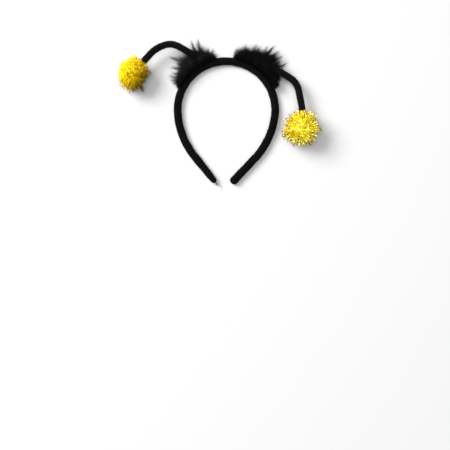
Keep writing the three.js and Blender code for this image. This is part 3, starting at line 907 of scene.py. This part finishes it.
def fur_mound(fur, tall):
    """The dense fur against the hoop, which closes the tuft behind its strands."""
    arc = np.linspace(fur["angle"][0], fur["angle"][-1], MOUND["rings"])
    reach = np.interp(arc, fur["angle"], fur["dense"])[:, None]
    point, outward, _ = crown_at(arc)
    half_deep = reach * MOUND["share"] / 2.0
    half_high = fur_height(reach, tall) * MOUND["share"]
    angle = ring_angles(MOUND["sides"], RING_SHIFT)
    across = BAND_THICK / 2.0 - FUR_SUNK + half_deep * (1.0 + np.cos(angle))
    height = half_high * np.sin(angle)
    rings = point[:, None, :] + outward[:, None, :] * across[..., None] + UP * height[..., None]
    keep_above(rings, FUR_FLOOR["lowest"])
    return rings


def fur_guides(fur, column, tall, kind, rng):
    """The middle line of each clump, from the hoop's cover to the fur's edge, and its angle."""
    count = kind["clumps"]
    arc = rng.uniform(fur["angle"][0], fur["angle"][-1], count)
    share = rng.random(count) ** CLUMP_LIFT["power"]
    lift = np.radians(lerp(CLUMP_LIFT["lowest_deg"], CLUMP_LIFT["highest_deg"], share))
    reach = np.interp(arc, fur["angle"], fur[column])
    rise = fur_height(reach, tall)
    length = 1.0 / np.hypot(np.cos(lift) / reach, np.sin(lift) / rise)
    length = length * rng.uniform(CLUMP["shortest"], CLUMP["longest"], count) + FUR_SUNK
    point, outward, forward = crown_at(arc)
    fan = rng.normal(0.0, CLUMP["fan"], count)[:, None]
    away = unit(outward * np.cos(lift)[:, None] + UP * np.sin(lift)[:, None] + forward * fan)
    foot_out = BAND_THICK / 2.0 - FUR_SUNK - CLUMP["foot_in"] * np.sin(np.abs(lift))
    foot_up = CLUMP["foot_up"] * BAND_WIDE * np.sin(lift)
    foot = point + outward * foot_out[:, None] + UP * foot_up[:, None]
    t = shares(kind["steps"])
    curl = forward * rng.normal(0.0, CLUMP["curl"], count)[:, None]
    droop = rng.uniform(0.0, CLUMP["droop"], count) * np.clip(np.sin(lift), 0.0, 1.0)
    bend = (curl - UP * droop[:, None]) * length[:, None]
    lines = foot[:, None, :] + away[:, None, :] * length[:, None, None] * t + bend[:, None, :] * t ** 2
    return lines, arc


def tip_pale(arc, pale):
    """How pale the strands' tips are at each angle round the crown."""
    return np.where(arc < BROWN_BEYOND, pale["brown"], pale["black"])


def past_hoop(arc, reach):
    """Points past the hoop's outer face, with the forward direction there."""
    point, outward, forward = crown_at(arc)
    return point + outward * (BAND_THICK / 2.0 + reach)[:, None], forward


def lock_guides(locks):
    """The middle line of each drawn-out lock, from its root in the fur to its tip."""
    root, _ = past_hoop(locks["root_angle"], locks["root_reach"] - LOCK_SUNK)
    tip, forward = past_hoop(locks["tip_angle"], locks["tip_reach"])
    tip[:, 2] = locks["tip_height"]
    t = shares(LOCK_HAIR["steps"])
    line = lerp(root[:, None, :], tip[:, None, :], t)
    arch = np.sin(math.pi * t)
    return line + forward[:, None, :] * locks["bow"][:, None, None] * arch + UP * LOCK_ARCH * arch


def hair(guides, each, kind, pale, rng):
    """Strands along guide lines, spread at the root and tip, and how pale each one's tip is."""
    lines = np.repeat(guides, each, axis=0)
    count = len(lines)
    t = shares(kind["steps"])
    foot = lines[:, :1, :]
    paths = foot + (lines - foot) * np.sqrt(rng.uniform(STRAND["shortest"], 1.0, (count, 1, 1)))
    paths = paths + rng.normal(0.0, kind["root"], (count, 1, 3)) * (1.0 - t)
    paths = paths + rng.normal(0.0, kind["tip"], (count, 1, 3)) * t ** STRAND["spread_power"]
    phase = rng.uniform(0.0, 2.0 * math.pi, (count, 1, 1))
    sway = rng.normal(0.0, kind["sway"], (count, 1, 3))
    paths = paths + sway * np.sin(STRAND["sway_turn"] * t + phase) * t
    keep_above(paths, FUR_FLOOR["lowest"] + FUR_FLOOR["spread"] * rng.random((count, 1)))
    return paths, np.repeat(pale, each) * rng.uniform(STRAND["dullest"], 1.0, count)


def clear_above(paths, path):
    """Which strands leave the feeler showing from above, past the fur at its foot."""
    shown = path[int(FUR_COVERS / STEM_STEP):]
    keep = np.ones(len(paths), bool)
    for step in range(paths.shape[1]):
        points = paths[:, step, :]
        offset = points[:, None, :2] - shown[None, :, :2]
        apart = np.linalg.norm(offset, axis=2)
        closest = apart.argmin(1)
        over = points[:, 2] > shown[closest, 2] - FUR_UNDER
        keep &= ~(over & (apart.min(1) < STEM_RADIUS))
    return keep


def fur_strands(paths, pale, kind, path, parted, rng):
    """Fine tapered strands that leave the feeler clear, and leave it showing where the fur parts."""
    if parted:
        kept = clear_above(paths, path)
        paths = paths[kept]
        pale = pale[kept]
    paths = clear_of_path(paths, path, STEM_RADIUS + FUR_CLEARANCE)
    count, steps, _ = paths.shape
    along = np.linspace(0.0, 1.0, steps)
    taper = kind["radius"] * np.interp(along, STRAND_TAPER["along"], STRAND_TAPER["share"])
    reference = unit(rng.normal(0.0, 1.0, (count, 3)))
    return strands(paths, np.tile(taper, (count, 1)), reference, pale)


def make_fur(side, fur, locks, path, parted):
    """A tuft: clumps of fine strands over a dense mound, loose fluff and drawn-out locks."""
    rng = np.random.default_rng(SEED["fur_" + side])
    tall = FUR_TALL[side]
    mound = fur_mound(fur, tall)
    pile = pile_on(mound, MOUND_PILE, rng)
    pile["shade"] = pile["shade"] * BODY_PALE["black"]
    shapes = [skin(mound), pile]
    for kind, column, tips in ((BODY_HAIR, "dense", BODY_PALE), (FLUFF_HAIR, "loose", FLUFF_PALE)):
        guides, arc = fur_guides(fur, column, tall, kind, rng)
        paths, pale = hair(guides, kind["each"], kind, tip_pale(arc, tips), rng)
        shapes.append(fur_strands(paths, pale, kind, path, parted, rng))
    pale = tip_pale(locks["tip_angle"], LOCK_PALE)
    paths, pale = hair(lock_guides(locks), locks["strands"].astype(int), LOCK_HAIR, pale, rng)
    shapes.append(fur_strands(paths, pale, LOCK_HAIR, path, parted, rng))
    material = fur_material("black_fur_" + side, FUR_COLOUR[side])
    add_piece("fur_" + side, shapes, material, "black_fur", "tuft_" + side)


# The tinsel pompoms

def even_directions(count):
    """Directions spread evenly over a ball, on a spiral."""
    k = np.arange(count)
    height = 1.0 - 2.0 * (k + 0.5) / count
    ring = np.sqrt(1.0 - height ** 2)
    return np.stack([np.cos(k * GOLDEN_ANGLE) * ring, np.sin(k * GOLDEN_ANGLE) * ring, height], -1)


def lock_direction(lock):
    """The direction in which a drawn-out lock of tinsel points."""
    turn = math.radians(lock["angle"])
    lift = math.radians(lock["rise"])
    return np.array([math.cos(turn) * math.cos(lift), math.sin(turn) * math.cos(lift), math.sin(lift)])


def pompom_reach(ball, away):
    """How far a pompom reaches in each direction: its outline from above, eased to its height."""
    outline = ball["outline"]
    angle = np.degrees(np.arctan2(away[:, 1], away[:, 0])) % 360.0
    seen = np.interp(angle, outline["angle"], outline["reach"])
    return lerp(seen, ball["tall"], away[:, 2] ** 2)


def strip_paths(ball, away, reach, bend, rng):
    """Lines out of the core along each direction, bent aside and kept inside their own reach."""
    t = shares(STRIP["steps"])
    aside = rng.normal(0.0, STRIP["aside"], away.shape) * bend
    aside = aside + np.cross(SWIRL_AXIS, away) * ball["swirl"]
    aside = aside - away * np.sum(aside * away, axis=1, keepdims=True)
    paths = away[:, None, :] * lerp(STRIP["root"], reach[:, None, None], t)
    paths = paths + aside[:, None, :] * t ** 2
    paths = paths + rng.normal(0.0, STRIP["crinkle"], paths.shape) * t
    distance = np.linalg.norm(paths, axis=2, keepdims=True)
    paths = ball["middle"] + paths * np.minimum(1.0, reach[:, None, None] / distance)
    keep_above(paths, TINSEL_FLOOR)
    return paths, unit(aside)


def matted_paths(ball, rng):
    """Lines bent round the pompom's surface, combed out from its pole, with their ends raised."""
    matted = ball["matted"]
    count = matted["strips"]
    away = unit(rng.normal(0.0, 1.0, (count, 3)))
    outward = unit(away * (away @ ball["pole"])[:, None] - ball["pole"])
    heading = rng.normal(0.0, 1.0 - ball["combed"], (count, 3)) + outward * ball["combed"]
    heading = unit(heading - away * np.sum(heading * away, axis=1, keepdims=True))
    t = np.linspace(-1.0, 1.0, STRIP["steps"])[None, :, None]
    turn = MATTED["span"] * rng.uniform(MATTED["shortest"], MATTED["longest"], (count, 1, 1)) * t
    direction = away[:, None, :] * np.cos(turn) + heading[:, None, :] * np.sin(turn)
    reach = pompom_reach(ball, direction.reshape(-1, 3)).reshape(count, STRIP["steps"], 1)
    share = rng.uniform(matted["lowest"], matted["highest"], (count, 1, 1)) + MATTED["lift"] * t ** 2
    paths = ball["middle"] + direction * reach * share
    keep_above(paths, TINSEL_FLOOR)
    return paths, away


def film_strips(paths, facing, wide, shade, rng):
    """Flat strips of film along the paths, bent the flat way, each twisted and in its own shade."""
    count = len(paths)
    t = np.linspace(0.0, 1.0, STRIP["steps"])[None, :]
    own = rng.uniform(STRIP["narrowest"], STRIP["widest"], count)[:, None]
    half_wide = wide / 2.0 * lerp(STRIP["wide_at_root"], 1.0, t) * own
    half_thick = np.full_like(half_wide, STRIP["thick"] / 2.0)
    tilt = rng.normal(0.0, STRIP["tilt"], count)[:, None]
    twist = tilt + rng.normal(0.0, STRIP["twist"], count)[:, None] * t
    made = sweep(paths, half_wide, half_thick, facing, twist, FLAT, False, shade)
    keep_above(made["points"], 0.0)
    return made


def strip_shade_and_light(ball, away, rng):
    """Each strip's shade: random, mixed with painted light that is lighter towards the pompom's painted
    lit side.
    """
    # Painted light: how much a strip faces the painted lit side
    painted_light_level = 0.5 + 0.5 * away @ ball["painted_lit_side"]
    return lerp(rng.random(len(away)), painted_light_level, ball["painted_light_share"])


def pompom_core(ball, rng):
    """The matted heart of a pompom, where the strips are tied, dark with painted shade of the depth."""
    down = np.linspace(CORE["pole"], math.pi - CORE["pole"], CORE["rings"])[:, None]
    angle = ring_angles(CORE["sides"])
    rough = 1.0 + CORE_LUMPS["height"] * waves(rng, CORE_LUMPS)(down, angle)
    radius = ball["tall"] * CORE["share"] * rough
    flat = radius * np.sin(down)
    rings = np.stack([flat * np.cos(angle), flat * np.sin(angle), -radius * np.cos(down)], -1)
    return skin(rings + ball["middle"], shade=CORE["shade"])


def make_pompom(side, ball, path):
    """Strips of film out of a core: a matted layer, two standing ones and a few drawn-out locks."""
    rng = np.random.default_rng(SEED["pompom_" + side])
    shapes = [pompom_core(ball, rng)]

    def add_strips(paths, facing, away, wide):
        clear = clear_of_path(paths, path, STEM_RADIUS + TINSEL_CLEARANCE)
        shapes.append(film_strips(clear, facing, wide, strip_shade_and_light(ball, away, rng), rng))

    paths, away = matted_paths(ball, rng)
    add_strips(paths, away, away, ball["matted"]["wide"])
    shapes[-1]["tone"][:] = MATTED["tone"]
    for layer in ball["layers"]:
        count = layer["strips"]
        away = unit(even_directions(count) + rng.normal(0.0, STRIP["scatter"], (count, 3)))
        reach = pompom_reach(ball, away) * rng.uniform(layer["shortest"], layer["longest"], count)
        paths, facing = strip_paths(ball, away, reach, layer["bend"], rng)
        add_strips(paths, facing, away, layer["wide"])
    for lock in ball["locks"]:
        count = lock["strips"]
        away = unit(lock_direction(lock) + rng.normal(0.0, TINSEL_LOCK["scatter"], (count, 3)))
        reach = lock["reach"] * rng.uniform(TINSEL_LOCK["shortest"], 1.0, count)
        paths, facing = strip_paths(ball, away, reach, TINSEL_LOCK["bend"], rng)
        add_strips(paths, facing, away, ball["layers"][-1]["wide"])
    material = tinsel_material("yellow_tinsel_" + side, TINSEL[side])
    add_piece("tinsel_" + side, shapes, material, "yellow_tinsel", "pompom_" + side)


# The stage

def add_light(name, place, size, power):
    """A soft square light that faces the middle of the part."""
    data = bpy.data.lights.new(name, "AREA")
    data.size = size
    data.energy = power
    light = bpy.data.objects.new(name, data)
    light.location = place
    light.rotation_mode = "QUATERNION"
    light.rotation_quaternion = (-light.location).to_track_quat("-Z", "Y")
    bpy.context.scene.collection.objects.link(light)


def make_stage():
    """A plain pale floor, soft light from the upper left and above, and the photograph's camera."""
    scene = bpy.context.scene
    scene.view_settings.view_transform = "Standard"
    floor_mesh = bpy.data.meshes.new("floor")
    corners = [(x * FLOOR_HALF, y * FLOOR_HALF, 0.0) for x, y in ((-1, -1), (1, -1), (1, 1), (-1, 1))]
    floor_mesh.from_pydata(corners, [], [(0, 1, 2, 3)])
    floor = bpy.data.objects.new("floor", floor_mesh)
    scene.collection.objects.link(floor)
    material, _, shader = new_material("pale_floor")
    set_inputs(shader, FLOOR_SHADER)
    floor_mesh.materials.append(material)
    world = bpy.data.worlds.new("studio")
    scene.world = world
    world.use_nodes = True
    set_inputs(world.node_tree.nodes["Background"], WORLD_LIGHT)
    for name, light in LIGHTS.items():
        add_light(name, **light)
    data = bpy.data.cameras.new("camera")
    data.lens = CAMERA_LENS
    data.clip_start = CAMERA_CLIP_START
    camera = bpy.data.objects.new("camera", data)
    camera.location = (CAMERA_PLACE + HOOP_PLACE) * MM
    camera.rotation_euler = (0.0, 0.0, CAMERA_TURN)
    scene.collection.objects.link(camera)
    scene.camera = camera


def main():
    """Dresses every node of the part and sets the stage."""
    velour = velour_material("black_velour", VELOUR)
    sleeve = velour_material("black_sleeve", SLEEVE)
    path_left = stem_path(STEM_LEFT)
    path_right = stem_path(STEM_RIGHT)
    make_band(velour)
    make_stem("left", path_left, sleeve)
    make_stem("right", path_right, sleeve)
    make_fur("left", FUR_LEFT, LOCKS_LEFT, path_left, parted=True)
    make_fur("right", FUR_RIGHT, LOCKS_RIGHT, path_right, parted=False)
    make_pompom("left", POMPOM_LEFT, path_left)
    make_pompom("right", POMPOM_RIGHT, path_right)
    make_stage()


main()
